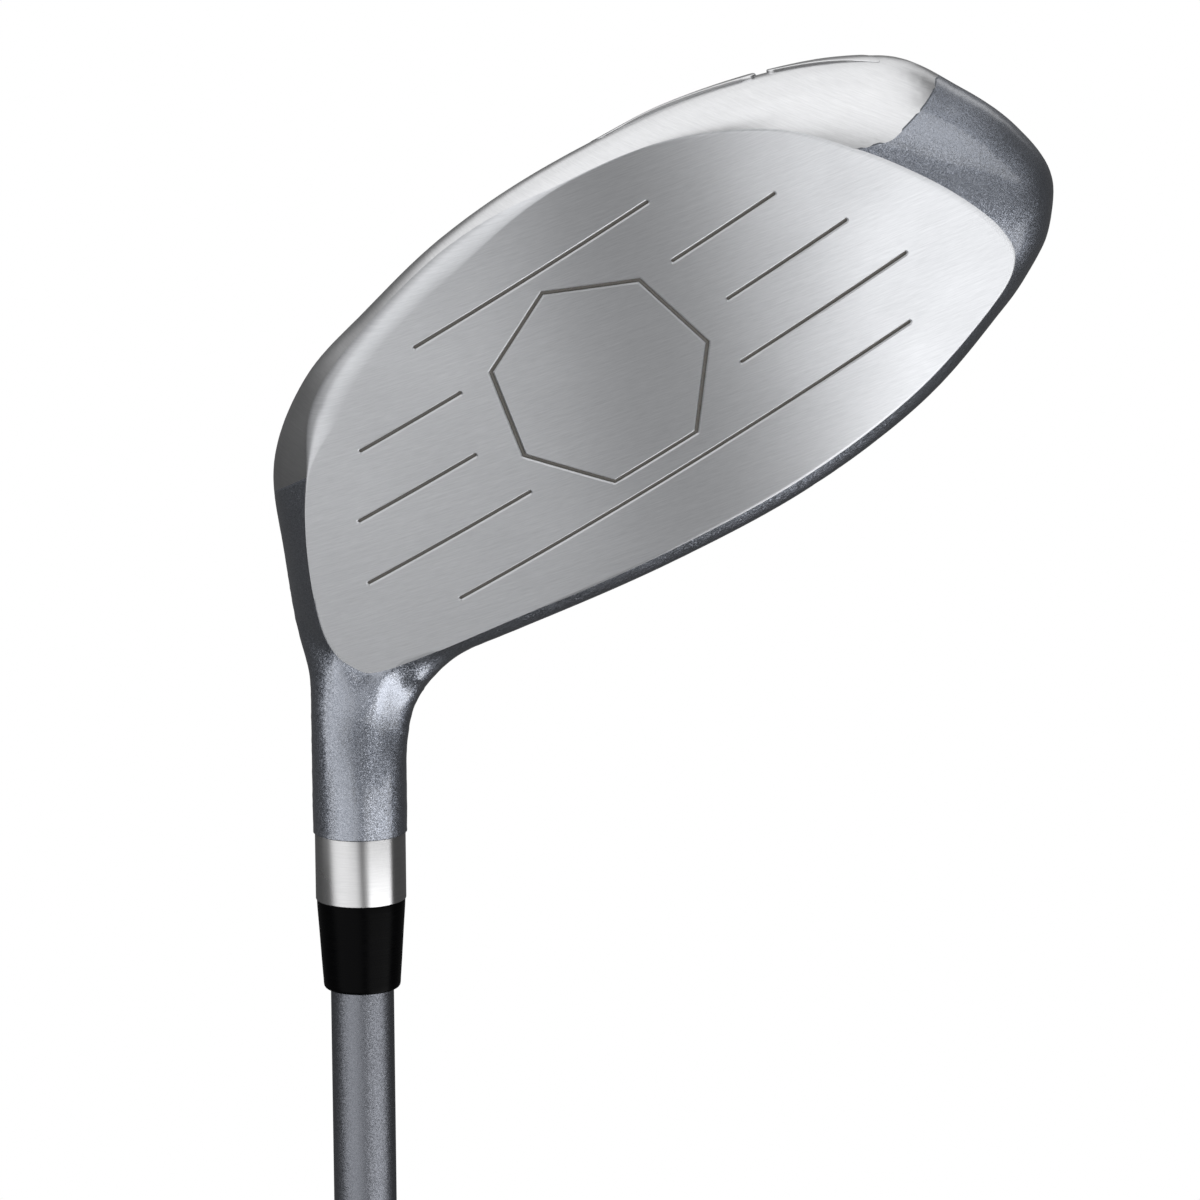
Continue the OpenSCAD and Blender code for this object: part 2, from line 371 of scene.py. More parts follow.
def corner_field(places):
    """Field of the hollow that runs from the face's heel corner up to the hosel's front.

    Also gives how softly the hollow meets the hosel, sharp at the face and wide above it.
    """
    u, v, height = face_place(places)
    weight, far, out = heel_corner(places)
    past = np.maximum(far, 0)
    rise = HOLLOW_RISE * past + HOLLOW_CURL * past ** 2
    rise = rise + HOLLOW_LIMIT * (1 - ease(-u, 28, 40) * ease(v, -2, 7))
    slope = out * ((HOLLOW_RISE + 2 * HOLLOW_CURL * past) * (far > 0))[:, None]
    run = dot(columns(u, v) - FALL_FROM, FALL_WAY)
    side = np.clip((run - FALL_START) / FALL_WIDTH, 0, 1)
    fall = FALL_DEPTH * ease(-u, 41, 48) * ease(far, 0, 2) * ease(-far, -16, -8)
    rise = rise - fall * ease(side, 0, 1)
    slope = slope - (fall * 6 * side * (1 - side) / FALL_WIDTH)[:, None] * FALL_WAY
    x, y = slope.T
    tilt = columns(x, -y * math.sin(LOFT), y * math.cos(LOFT))
    steep = np.sqrt(1 + dot(slope, slope))
    lift = 40 * (weight == 0)
    outside = unit(face_normal(u, v) - tilt)
    return (height - rise - lift) / steep, outside, 0.4 + 3.6 * ease(far, 0, 7)


def head_field(body, places):
    """Signed distance to the head's outside, and the direction outwards.

    The fillet between the body and the hosel is small on the heel side and at the front.
    """
    x, y, _ = to_club(places).T
    fillet = FILLET * (0.3 + 0.7 * ease(x, -7, 5)) * (0.15 + 0.85 * ease(y, -6.5, -1.5))
    whole = joined(body.field(places), hosel_field(places), fillet)
    height, outside, soft = corner_field(places)
    far, out = joined((-whole[0], -whole[1]), (-height, -outside), soft)
    return -far, -out


class Skin:
    """Triangles on the head's outside. Every point knows the direction outwards."""

    def __init__(self, body, points, triangles):
        self.body = body
        self.points = points
        self.triangles = triangles
        self.marks = np.zeros(len(triangles), dtype=int)

    def settle(self, places, line=None, rounds=3):
        """Places moved onto the head's outside, and onto the line where a value is zero."""
        step = 0.01
        for _ in range(rounds):
            if line is not None:
                value = line(places)
                slope = np.stack([(line(places + step * axis) - value) / step
                                  for axis in np.eye(3)], axis=1)
                out = head_field(self.body, places)[1]
                slope -= out * dot(slope, out)[:, None]
                move = value / np.maximum(dot(slope, slope), 1e-6)
                places = places - np.clip(move, -3, 3)[:, None] * slope
            far, out = head_field(self.body, places)
            places = places - far[:, None] * out
        return places

    def outwards(self, step=0.15):
        """Direction square to the head's outside at every point, from the field's slope."""
        slope = [head_field(self.body, self.points + step * axis)[0]
                 - head_field(self.body, self.points - step * axis)[0] for axis in np.eye(3)]
        return unit(np.stack(slope, axis=1))

    def cut(self, line, mark):
        """Splits the triangles along the line and adds mark to those on its upper side."""
        value = line(self.points)
        tris = self.triangles
        edges = np.unique(np.sort(edges_of(tris), axis=1), axis=0)
        crossing, part = crossed(edges, value)
        close = np.unique(np.concatenate([crossing[part < 0.25, 0], crossing[part > 0.75, 1]]))
        self.points[close] = self.settle(self.points[close], line)
        value[close] = 0
        crossing, part = crossed(edges, value)
        a, b = self.points[crossing[:, 0]], self.points[crossing[:, 1]]
        middle = self.settle(a * (1 - part[:, None]) + b * part[:, None], line)
        between = {tuple(e): len(self.points) + i for i, e in enumerate(crossing.tolist())}
        self.points = np.vstack([self.points, middle])
        value = np.concatenate([value, np.zeros(len(middle))])
        sign = np.sign(value).astype(int)
        triangles, marks = [], []
        signs = sign[tris]
        mixed = (signs.min(axis=1) < 0) & (signs.max(axis=1) > 0)
        for index in np.nonzero(mixed)[0]:
            corner = tris[index].tolist()
            ring = []
            for i in range(3):
                a, b = corner[i], corner[(i + 1) % 3]
                ring.append(a)
                if sign[a] * sign[b] < 0:
                    ring.append(between[(min(a, b), max(a, b))])
            for side in (1, -1):
                piece = [p for p in ring if sign[p] != -side]
                for i in range(1, len(piece) - 1):
                    triangles.append([piece[0], piece[i], piece[i + 1]])
                    marks.append(self.marks[index] + (mark if side > 0 else 0))
        whole = ~mixed
        upper = signs[whole].sum(axis=1) > 0
        self.triangles = np.vstack([tris[whole], triangles])
        self.marks = np.concatenate([self.marks[whole] + mark * upper, marks])


VOXEL = 0.8


def voxel_skin(body):
    """Even triangles over the body and the hosel, moved onto their joined outside."""
    rings = [to_head(circle(HOSEL_RADIUS, z, 64))
             for z in np.linspace(HOSEL_ROOT, HOSEL_TOP - 4, 50)]
    middle = [to_head([[0, 0, z]])[0] for z in (HOSEL_ROOT, HOSEL_TOP - 4)]
    bar, bar_triangles = closed_rings(rings, *middle)
    points = np.vstack([body.points, bar])
    triangles = np.vstack([body.triangles, bar_triangles + len(body.points)])
    rough = link_mesh("rough", points, triangles)
    remesh = rough.modifiers.new("even", "REMESH")
    remesh.mode = "VOXEL"
    remesh.voxel_size = VOXEL
    even = rough.evaluated_get(bpy.context.evaluated_depsgraph_get()).to_mesh()
    points = np.array([v.co[:] for v in even.vertices])
    quads = np.array([p.vertices[:] for p in even.polygons])
    bpy.data.objects.remove(rough)
    a, b, c, d = quads.T
    skin = Skin(body, points, patches(a, b, d, c))
    skin.points = skin.settle(points, rounds=4)
    return skin


# ---------------- pieces of the head

SHARP = math.radians(35)
EDGE_ROUND = 0.12
LEADING_ROUND = 2.1


def ridge(u, v):
    """How far the rounded edge of the face reaches, wide on the leading edge near the heel."""
    return EDGE_ROUND + LEADING_ROUND * ease(-v, 6, 14) * ease(-u, -11, 10) * ease(u, -40, -33)


def before_face(points):
    """Above zero in front of the line where the face's rounded edge meets the body."""
    u, v, height = face_place(points)
    weight, far, _ = heel_corner(points)
    return (1 - weight) * (height + ridge(u, v)) + weight * np.minimum(-far, height + 4)


def before_band(points):
    """Above zero beyond the end of the painted hosel."""
    return HOSEL_TOP - to_club(points)[:, 2]


PAINT_END = -9.9
# Width of a strip of darker paint along the paint's lower edge: a painted shadow of the paint's
# step.
EDGE_SHADOW = 0.2


def below_paint(points):
    """Above zero under the line where the paint stops and the brushed sole begins."""
    x, y, z = points.T
    toe = 3.2 * np.clip((y + 13) / 10, 0, 1) - 0.65 * np.maximum(y + 2.7, 0)
    heel = 0.4 * np.clip((y + 6) / 6, 0, 1)
    return PAINT_END + toe * ease(x, 0, 25) + heel * ease(-x, 0, 25) - z


def at_paint_edge(points):
    """Above zero from just above the end of the paint, for the strip of painted shadow along its
    edge.
    """
    return below_paint(points) + EDGE_SHADOW


WELD_FRONT = (-13, 22.4)
WELD_BACK = -6
WELD_TO_HOSEL = 15


def in_crown(points):
    """Above zero over the weld line of the crown plate, clear of the hosel."""
    _, y, z = points.T
    front, top = WELD_FRONT
    weld = z - top - (y - front) * (WELD_BACK - top) / (TAIL[1] - front)
    club = to_club(points)
    clear = np.hypot(club[:, 0], club[:, 1]) - WELD_TO_HOSEL
    return np.minimum(np.minimum(weld, front - y), clear)


def border_loops(triangles):
    """Closed chains of points along the open edges, in the triangles' own turn."""
    pairs = set(map(tuple, edges_of(triangles).tolist()))
    after = {a: b for a, b in pairs if (b, a) not in pairs}
    loops = []
    while after:
        start, point = after.popitem()
        loop = [start]
        while point != start:
            loop.append(point)
            point = after.pop(point)
        loops.append(loop)
    return loops


def shell(points, triangles, normals, thickness):
    """Closed shell under an open skin: points, triangles and the normal at every corner."""
    n = len(points)
    inner = points - thickness * normals
    corners = [normals[triangles], -normals[triangles[:, ::-1]]]
    faces = [triangles, triangles[:, ::-1] + n]
    both = np.vstack([points, inner])
    for loop in border_loops(triangles):
        a = np.array(loop)
        b = np.roll(a, -1)
        rim = patches(b, a, b + n, a + n)
        faces.append(rim)
        corners.append(np.repeat(unit(facing(both, rim))[:, None], 3, axis=1))
    return both, np.vstack(faces), np.vstack(corners)


def add_mesh(name, points, faces, flows, normals=None, slots=None):
    """Object from points in club-frame millimetres, with a flow map and normals at corners.

    Without normals, only the edges that are sharper than an angle stay crisp.
    """
    piece = link_mesh(name, points * MM, faces)
    mesh = piece.data
    mesh.polygons.foreach_set("use_smooth", np.ones(len(mesh.polygons), dtype=bool))
    if slots is not None:
        mesh.polygons.foreach_set("material_index", slots.astype(np.int32))
    layer = mesh.uv_layers.new(name="flow")
    layer.data.foreach_set("uv", flows.astype(np.float32).ravel())
    mesh.update()
    if normals is None:
        mesh.set_sharp_from_angle(angle=SHARP)
    else:
        mesh.normals_split_custom_set((normals.reshape(-1, 3) @ TURN.T).tolist())
    return piece


BRUSH_TURN = math.radians(13)


def flow_on_face(u, v):
    """Flow map on the face in millimetres, its first value along the brushing."""
    c, s = math.cos(BRUSH_TURN), math.sin(BRUSH_TURN)
    return columns(u * c + v * s, v * c - u * s)


SOLE_ALONG = (0.64, 0.5, 0.87)
SOLE_ACROSS = (0.87, 0, -0.64)


def flow_on_body(points):
    """Flow map on the body in millimetres, its first value along the sole's brushing."""
    return columns(dot(points, SOLE_ALONG), dot(points, SOLE_ACROSS))


SHRINK, REGROW = 0.6, -0.63
ROOT_ROUNDS = 40


def smooth_root(skin, kept, normals):
    """Evens out the skin and its normals where the hosel grows out of the body."""
    triangles = skin.triangles[kept]
    x, y, z = to_club(skin.points).T
    weight = ease(z, 934, 942) * ease(-z, -982, -972) * ease(-np.hypot(x - 2, y), -19, -13)
    weight[np.concatenate(border_loops(triangles))] = 0
    edges = edges_of(triangles)
    count = np.zeros(len(x))
    np.add.at(count, edges.ravel(), 1)
    count = np.maximum(count, 1)[:, None]
    for step in (SHRINK, REGROW) * ROOT_ROUNDS:
        total = np.zeros_like(skin.points)
        for i in (0, 1):
            np.add.at(total, edges[:, i], skin.points[edges[:, 1 - i]])
        skin.points += step * weight[:, None] * (total / count - skin.points)
    even = vertex_normals(skin.points, triangles)
    normals[:] = unit(normals + (even - normals) * ease(weight, 0, 0.5)[:, None])


# EDGE marks the thin strip of painted shadow along the paint's lower edge.
FRONT, BAND, SOLE, CROWN, EDGE = 1, 2, 4, 8, 16


def make_head_skins():
    """Painted and brushed skins of the body and the crown, and the body's edge at the face."""
    body = make_body()
    skin = voxel_skin(body)
    for line, mark in ((before_face, FRONT), (before_band, BAND), (below_paint, SOLE),
                       (in_crown, CROWN), (at_paint_edge, EDGE)):
        skin.cut(line, mark)
    normals = skin.outwards()
    kept = (skin.marks & (FRONT + BAND)) == 0
    smooth_root(skin, kept, normals)
    skins = {}
    crown = (skin.marks & CROWN) > 0
    for name, part in (("head", kept & ~crown), ("crown", kept & crown)):
        used, triangles = np.unique(skin.triangles[part], return_inverse=True)
        triangles = triangles.reshape(-1, 3)
        steel = (skin.marks[part] & SOLE) > 0
        shadow = (skin.marks[part] & EDGE) > 0
        # Slot 2 is the darker strip of painted shadow along the paint's edge.
        slots = np.where(steel, 1, 2 * shadow)
        skins[name] = (skin.points[used], triangles, normals[used], slots)
    points, triangles, outs, _ = skins["head"]
    edge = np.array(max(border_loops(triangles), key=lambda loop: points[loop, 1].min()))
    return body, skins, (points[edge], outs[edge])


def add_skin(name, skin):
    """Closed shell of one skin: paint in slot 0, brushed steel in 1, a strip of painted shadow
    along the paint's edge in 2.
    """
    points, triangles, outs, painted = skin
    both, faces, corners = shell(points, triangles, outs, SHELL)
    slots = np.zeros(len(faces), dtype=int)
    slots[:2 * len(triangles)] = np.tile(painted, 2)
    return add_mesh(name, to_club(both), faces, flow_on_body(both[faces]), corners, slots)


# ---------------- face plate

SCORE_PITCH = 8.25
FIRST_ROW = -0.35 - 2 * SCORE_PITCH
SCORE_LINES = [
    (0, -17.3, 17.3), (1, -31, -16), (1, 16, 31), (2, -36.7, -19.1), (2, 19.1, 36.7),
    (3, -40.7, -16.1), (3, 16.1, 40.7), (4, -31.9, 36.4),
]
HEPTAGON_RADIUS = 14.2
GROOVE = [(0.41, 0), (0.38, 0.02), (0.23, 0.17), (0.19, 0.32), (0.11, 0.38)]
# Groove triangles deeper than BARE_WALL take the dark groove colour, a painted shade in the recess.
BARE_WALL = 0.16
WALL_END = 0.2
GRID_STEP = 3.0
REAR_LIP = 1.1
BACK_INSET = 1.6


def stretch(a, b, step):
    """Points from a up to but not including b, no further apart than step."""
    a, b = np.asarray(a, dtype=float), np.asarray(b, dtype=float)
    count = max(int(math.ceil(np.linalg.norm(b - a) / step)), 1)
    return a + (b - a) * (np.arange(count) / count)[:, None]


def score_loop(row, start, end, half):
    """Outline of a score line with round ends, half its width from its middle."""
    v = FIRST_ROW + row * SCORE_PITCH
    turn = np.linspace(-math.pi / 2, math.pi / 2, 11)[:-1, None]
    right = np.hstack([end + half * np.cos(turn), v + half * np.sin(turn)])
    left = np.hstack([start - half * np.cos(turn), v - half * np.sin(turn)])
    return np.vstack([right, stretch((end, v + half), (start, v + half), 2.0),
                      left, stretch((start, v - half), (end, v - half), 2.0)])


def heptagon_loop(offset):
    """Outline of the seven-sided line, offset outwards from its middle."""
    radius = HEPTAGON_RADIUS + offset / math.cos(math.pi / 7)
    turn = -math.pi / 2 + 2 * math.pi * np.arange(8) / 7
    corners = columns(radius * np.cos(turn), radius * np.sin(turn))
    return np.vstack([stretch(corners[i], corners[i + 1], 2.0) for i in range(7)])


def inside_loop(places, loop):
    """Which places lie inside a closed loop, both as rows of two numbers."""
    a, b = loop, np.roll(loop, -1, axis=0)
    x, y = places[:, :1], places[:, 1:]
    spans = (a[:, 1] > y) != (b[:, 1] > y)
    slope = (b[:, 0] - a[:, 0]) / np.where(b[:, 1] == a[:, 1], 1e-9, b[:, 1] - a[:, 1])
    return (spans & (x < a[:, 0] + (y - a[:, 1]) * slope)).sum(axis=1) % 2 == 1


def even_loop(points, normals, step):
    """A closed chain of points and normals respaced at about step."""
    rows = np.hstack([points, normals])
    rows = np.vstack([rows, rows[:1]])
    run = np.linalg.norm(np.diff(rows[:, :3], axis=0), axis=1)
    run = np.concatenate([[0], np.cumsum(run)])
    at = np.linspace(0, run[-1], int(run[-1] / step), endpoint=False)
    even = columns(*[np.interp(at, run, column) for column in rows.T])
    return even[:, :3], unit(even[:, 3:])


def rounded_edge(edge, outs, rings):
    """Rings of points and normals from the face's flat part over its edge to the body."""
    along = unit(np.roll(edge, -1, axis=0) - np.roll(edge, 1, axis=0))
    u, v, height = face_place(edge)
    upright = face_normal(u, v)
    climb = along_guide(unit(np.cross(outs, along)), upright)
    step = np.clip(-height / np.maximum(dot(climb, upright), 0.3), 0, 4)
    corner = edge + climb * step[:, None]
    outwards = along_guide(unit(np.cross(along, upright)), edge - edge.mean(axis=0))
    reach = np.maximum(step, EDGE_ROUND)
    start = corner - outwards * reach[:, None]
    u, v, _ = face_place(start)
    start = face_point(u, v)
    result = []
    for t in np.linspace(0, 1, rings):
        down = (1 - t) * (corner - start) + t * (edge - corner)
        out = along_guide(unit(np.cross(down, along)), upright + outs)
        result.append((curve(start, corner, edge, t), out))
    result[0] = (start, face_normal(u, v))
    result[-1] = (edge, outs)
    return result


def groove_loops():
    """Outlines of the score lines and the seven-sided line at each level of the groove."""
    loops, depths = [], []
    for half, depth in GROOVE:
        level = [score_loop(*line, half) for line in SCORE_LINES]
        level += [heptagon_loop(side * half) for side in (-1, 1)]
        loops += level
        depths += [depth] * len(level)
    return loops, depths


def scored_front(flat):
    """Front of the face inside the outline, with the grooves pressed into it.

    Gives its points and triangles, the normal at every corner, the depth of every point and
    the numbers of the points on the outline.
    """
    loops, depths = groove_loops()
    loops, depths = [flat] + loops, [0.0] + depths
    grid = np.meshgrid(np.arange(-54, 55, GRID_STEP), np.arange(-27, 29, GRID_STEP))
    grid = columns(*grid).reshape(-1, 2) + 0.37
    grid = grid[inside_loop(grid, flat)]
    fixed = np.vstack(loops)
    clear = [np.min(np.hypot(*(fixed - g).T)) > 1.0 for g in grid]
    edges, first = [], 0
    for loop in loops:
        n = len(loop)
        edges += [(first + i, first + (i + 1) % n) for i in range(n)]
        first += n
    result = delaunay_2d_cdt([Vector(p) for p in np.vstack([fixed, grid[clear]])], edges, [],
                             0, 1e-6)
    places = np.array([p[:] for p in result[0]])
    triangles = np.array(result[2])
    source = [ids[0] for ids in result[3]]
    depth = np.concatenate([np.full(len(loop), level) for loop, level in zip(loops, depths)]
                           + [np.zeros(clear.count(True))])[source]
    triangles = triangles[inside_loop(places[triangles].mean(axis=1), flat)]
    points = face_point(*places.T, -depth)
    upright = face_normal(*places.T)
    turned = dot(facing(points, triangles), upright[triangles[:, 0]]) < 0
    triangles[turned] = triangles[turned][:, ::-1]
    low, high = depth[triangles].min(axis=1), depth[triangles].max(axis=1)
    corners = upright[triangles]
    grooved = high > 0
    corners[grooved] = vertex_normals(points, triangles[grooved])[triangles[grooved]]
    wall = (low > 0) & (high < WALL_END) & (high > BARE_WALL)
    corners[wall] = unit(facing(points, triangles[wall]))[:, None]
    return points, triangles, corners, depth, [source.index(i) for i in range(len(flat))]


def add_face(edge, outs):
    """Face plate with real score lines and a rounded edge, closed behind."""
    rim = rounded_edge(edge, outs, 8)
    flat = columns(*face_place(rim[0][0])[:2])
    points, triangles, corners, depth, border = scored_front(flat)
    n = len(flat)
    back_place = flat * (1 - BACK_INSET / np.linalg.norm(flat, axis=1, keepdims=True))
    back = face_point(*back_place.T, np.full(n, -FACE_THICKNESS))
    rings = [place for place, _ in rim[1:]] + [edge - REAR_LIP * outs, back]
    total = np.vstack([points] + rings + [face_point(0.0, 0.0, -FACE_THICKNESS)[None]])
    ids = [np.array(border)] + [len(points) + i * n + np.arange(n) for i in range(len(rings))]
    # Triangles deep in the grooves get the dark groove colour, a painted shade.
    painted_shade_floor = depth[triangles].min(axis=1) > BARE_WALL
    faces, normals = [triangles], [corners]
    levels = [out for _, out in rim]
    for i in range(len(ids) - 1):
        a, b = ids[i], np.roll(ids[i], -1)
        c, d = ids[i + 1], np.roll(ids[i + 1], -1)
        strip = patches(a, b, c, d)
        if i < len(levels) - 1:
            x, y = levels[i], levels[i + 1]
            xb, yb = np.roll(x, -1, axis=0), np.roll(y, -1, axis=0)
            normal = np.concatenate([np.stack([x, xb, yb], axis=1), np.stack([x, yb, y], axis=1)])
        else:
            normal = np.repeat(unit(facing(total, strip))[:, None], 3, axis=1)
        faces.append(strip)
        normals.append(normal)
    last = ids[-1]
    faces.append(columns(last, np.roll(last, -1), np.full(n, len(total) - 1)))
    normals.append(np.tile(-face_normal(0.0, 0.0), (n, 3, 1)))
    faces, normals = np.vstack(faces), np.vstack(normals)
    slots = np.zeros(len(faces), dtype=int)
    slots[:len(painted_shade_floor)] = painted_shade_floor
    u, v, _ = face_place(total[faces])
    return add_mesh("face", to_club(total), faces, flow_on_face(u, v), normals, slots)


# ---------------- band, ferrule, shaft, grip


def corner_arc(before, here, after, reach, steps):
    """Points that round a corner off, from reach before it to reach after it."""
    start = here + reach * unit(before - here)
    end = here + reach * unit(after - here)
    return [curve(start, here, end, t) for t in np.linspace(0, 1, steps)]


def rounded(profile, cuts):
    """Profile of radius and height rows with the corners at the given rows rounded off."""
    profile = [np.array(p, dtype=float) for p in profile]
    result = []
    for i, here in enumerate(profile):
        if i in cuts:
            result += corner_arc(profile[i - 1], here, profile[i + 1], cuts[i], 5)
        else:
            result.append(here)
    return result


def add_turned(name, profile, around=128, bump=None):
    """Closed turned piece round the shaft's axis.

    The profile runs up the outside and down the inside, as rows of radius and height, and
    bump may move its points outwards.
    """
    profile = np.array(profile)
    turn = 2 * math.pi * np.arange(around) / around
    radius = np.repeat(profile[:, :1], around, axis=1)
    height = np.repeat(profile[:, 1:], around, axis=1)
    if bump is not None:
        radius = radius + bump(radius, height, turn[None])
    points = columns(radius * np.cos(turn), radius * np.sin(turn), height)
    n = len(profile)
    faces, flows = [], []
    for i in range(n):
        j = (i + 1) % n
        here, there = profile[i, 1], profile[j, 1]
        for k in range(around):
            m = (k + 1) % around
            faces.append((i * around + k, i * around + m, j * around + m, j * around + k))
            left, right = turn[k], turn[k] + 2 * math.pi / around
            flows += [(left, here), (right, here), (right, there), (left, there)]
    flows = np.array(flows)
    flows[:, 0] *= profile[:, 0].max()
    return add_mesh(name, points.reshape(-1, 3), faces, flows)


def height_span(node):
    """Lowest and highest place of a CAD node along the shaft, in millimetres."""
    low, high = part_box(node)
    return low[2] / MM, high[2] / MM


def add_band():
    """Bare steel end of the hosel below the paint."""
    low, high = height_span("hosel_band")
    outside, bore, top = 6.075, 5.3, high - 0.1
    profile = [(outside, low), (outside, top), (bore, top), (bore, low)]
    return add_turned("hosel_band_steel", rounded(profile, {0: 0.12, 1: 0.1}))


def add_ferrule():
    """Ferrule, a little barrelled, with a soft lip at its small end."""
    low, high = height_span("ferrule")
    bore = 4.26
    profile = [(bore, low), (5.15, low), (5.22, low + 1.2), (5.42, low + 4), (5.68, low + 8),
               (5.9, high - 1.2), (5.95, high - 0.02), (bore, high - 0.02)]
    return add_turned("ferrule_black", rounded(profile, {1: 0.55, 6: 0.12}))


SHAFT_TIP = 4.25
SHAFT_BUTT = 7.6
TIP_START = 846.0
BUTT_END = 287.0


def add_shaft():
    """Tapered shaft with its bore, from inside the grip to inside the hosel."""
    low, high = height_span("shaft")
    tip_end = height_span("ferrule")[0] + 0.6
    outside = [(SHAFT_BUTT, low), (SHAFT_BUTT, BUTT_END)]
    for z in np.linspace(BUTT_END, TIP_START, 40)[1:]:
        part = (z - BUTT_END) / (TIP_START - BUTT_END)
        outside.append((SHAFT_BUTT + (SHAFT_TIP - SHAFT_BUTT) * part, z))
    glued, tip_bore, butt_bore = SHAFT_TIP - 0.05, 2.35, 6.6
    outside += [(SHAFT_TIP, tip_end), (glued, tip_end + 1.2), (glued, high)]
    inside = [(tip_bore, high), (tip_bore, TIP_START), (butt_bore, BUTT_END), (butt_bore, low)]
    return add_turned("shaft_tube", outside + inside)


GRIP_MOUTH = 8.7
GRIP_WAIST = 11.0
GRIP_BUTT = 12.6
GRIP_BANDS = ((24, 92), (102, 170), (180, 246))
GRIP_THREADS = 14
GRIP_PITCH = 9
GRIP_COLLAR = (250, 264)
THREAD_DEPTH = 0.35
COLLAR_DEPTH = 0.2


def grip_pattern(radius, height, turn):
    """Crossed shallow grooves in three bands on the outside of the grip."""
    band = np.zeros_like(height)
    for start, end in GRIP_BANDS:
        band = np.maximum(band, ease(height, start, start + 3) * ease(-height, -end, 3 - end))
    lines = 0
    for way in (-1, 1):
        wave = np.cos(GRIP_THREADS * turn + way * 2 * math.pi * height / GRIP_PITCH)
        lines = np.maximum(lines, ease(wave, 0.80, 0.97))
    start, end = GRIP_COLLAR
    collar = ease(np.cos(2 * math.pi * height / 3), 0.2, 0.9)
    collar = collar * ease(height, start, start + 2) * ease(-height, -end, 2 - end)
    outside = radius > 8.2
    return -(THREAD_DEPTH * lines * band + COLLAR_DEPTH * collar) * outside


def add_grip():
    """Rubber grip with a ribbed mouth, open at the mouth and resting on the cap."""
    low, high = height_span("grip")
    flare = low + 45
    outside = [(GRIP_BUTT, low)]
    for z in np.arange(low + 1, high - 0.8, 0.9):
        if z < flare:
            radius = GRIP_BUTT + (GRIP_WAIST - GRIP_BUTT) * ease(z, low - 12, flare + 8)
        else:
            radius = GRIP_WAIST + (GRIP_MOUTH - GRIP_WAIST) * (z - flare) / (high - flare)
        outside.append((radius, z))
    outside += [(GRIP_MOUTH - 0.05, high - 0.4), (GRIP_MOUTH - 0.4, high)]
    bore = 7.92
    inside = [(bore, high), (bore, low)]
    return add_turned("grip_rubber", outside + inside, 144, grip_pattern)


def add_cap():
    """End cap of the grip with its vent hole."""
    low, high = height_span("grip_cap")
    profile = [(2.0, low + 4), (2.0, low), (4.0, low), (4.4, low + 0.35), (4.8, low),
               (9.8, low), (10.2, low + 0.35), (10.6, low), (13.2, low), (13.2, low + 4),
               (12.6, high), (7.6, high), (7.6, low + 4)]
    return add_turned("grip_end", rounded(profile, {1: 0.3, 8: 2.2}))


# ---------------- sole plate


PAD_HEIGHT = 0.4
LEDGE_HEIGHT = 0.35
PAD_ROOT = -0.6
# Rounded rim of a pad: how far in from its outline, and how far below its top.
PAD_RIM = ((0, 0.2), (0.06, 0.06), (0.2, 0))


def pad_outline(corners, corner):
    """Four-sided outline on the sole with rounded corners, as rows of x and y."""
    box = np.array(corners, dtype=float)
    outline = []
    for i in range(4):
        before, here, after = box[i - 1], box[i], box[(i + 1) % 4]
        outline += corner_arc(before, here, after, corner, 9)
        outline += list(stretch(outline[-1], after + corner * unit(here - after), 1.0)[1:])
    return np.array(outline)


def raised_pad(body, outline, height, taper):
    """Points and triangles of a closed pad that stands proud of the sole, with a rounded rim.

    It sinks into the sole from the second to the first place of the taper along X.
    """
    middle = outline.mean(axis=0)
    inward = unit(middle - outline)
    rings = [(outline, PAD_ROOT)]
    rings += [(outline + inset * inward, height - drop) for inset, drop in PAD_RIM]
    rings += [(middle + part * (outline - middle), height)
              for part in np.linspace(0.96, 0.06, 24)]
    flat = np.vstack([ring for ring, _ in rings] + [middle, middle])
    levels = np.concatenate([np.full(len(ring), level) for ring, level in rings]
                            + [[PAD_ROOT, height]])
    levels = np.where(levels > 0, levels * (0.1 + 0.9 * ease(flat[:, 0], *taper)), levels)
    places = np.array([body.tree.ray_cast(Vector((x, y, -60)), Vector((0, 0, 1)))[0]
                       for x, y in flat])
    points = places + levels[:, None] * body.field(places)[1]
    n = len(outline)
    split = [points[i * n:(i + 1) * n] for i in range(len(rings))]
    total, triangles = closed_rings(split, points[-2], points[-1])
    if dot(total[triangles[:, 0]], facing(total, triangles)).sum() < 0:
        triangles = triangles[:, ::-1]
    return total, triangles


def add_sole_plate(body):
    """Raised plate on the sole and the smaller ledge beside it towards the toe."""
    plate = pad_outline([(15.5, 0.4), (36.5, -5.4), (30, -52), (4, -52)], 2.0)
    ledge = pad_outline([(37.6, -7.2), (50.6, -9.7), (44, -34), (36, -34)], 1.2)
    points, triangles = raised_pad(body, plate, PAD_HEIGHT, (14, 24))
    more, more_triangles = raised_pad(body, ledge, LEDGE_HEIGHT, (52, 43))
    triangles = np.vstack([triangles, more_triangles + len(points)])
    points = np.vstack([points, more])
    return add_mesh("sole_pad", to_club(points), triangles, flow_on_body(points[triangles]))


# ---------------- materials


